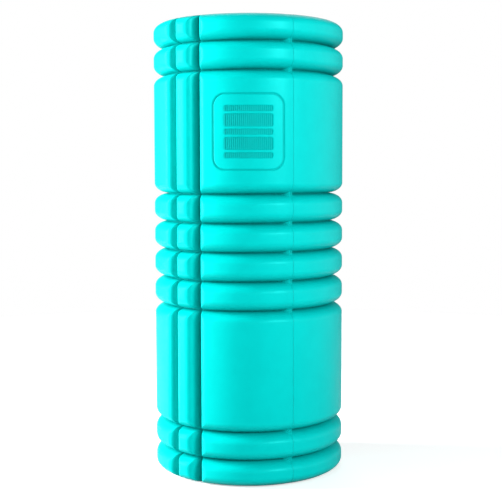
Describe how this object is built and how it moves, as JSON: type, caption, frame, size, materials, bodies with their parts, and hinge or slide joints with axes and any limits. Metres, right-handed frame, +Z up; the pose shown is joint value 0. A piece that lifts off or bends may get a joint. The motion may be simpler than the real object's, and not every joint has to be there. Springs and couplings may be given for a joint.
{
  "type": "foam roller",
  "caption": "Upright foam massage roller: hollow rigid core in a moulded foam sleeve with ring ridges, wide blocks, lengthwise grooves and a glued seam.",
  "frame": {"origin": "centre of the lower end, on the surface that the roller stands on", "axes": "+Z up along the roller's axis; -Y is the front, with the badge"},
  "size_m": [0.1396, 0.1396, 0.33],
  "materials": {
    "foam": "satin closed-cell foam skin",
    "core_plastic": "satin extruded plastic",
    "adhesive": "cured contact adhesive"
  },
  "bodies": {
    "root": {"core_tube": "core_plastic", "core_bond": "adhesive", "foam_sleeve": "foam", "seam_bond": "adhesive"}
  },
  "joints": []
}
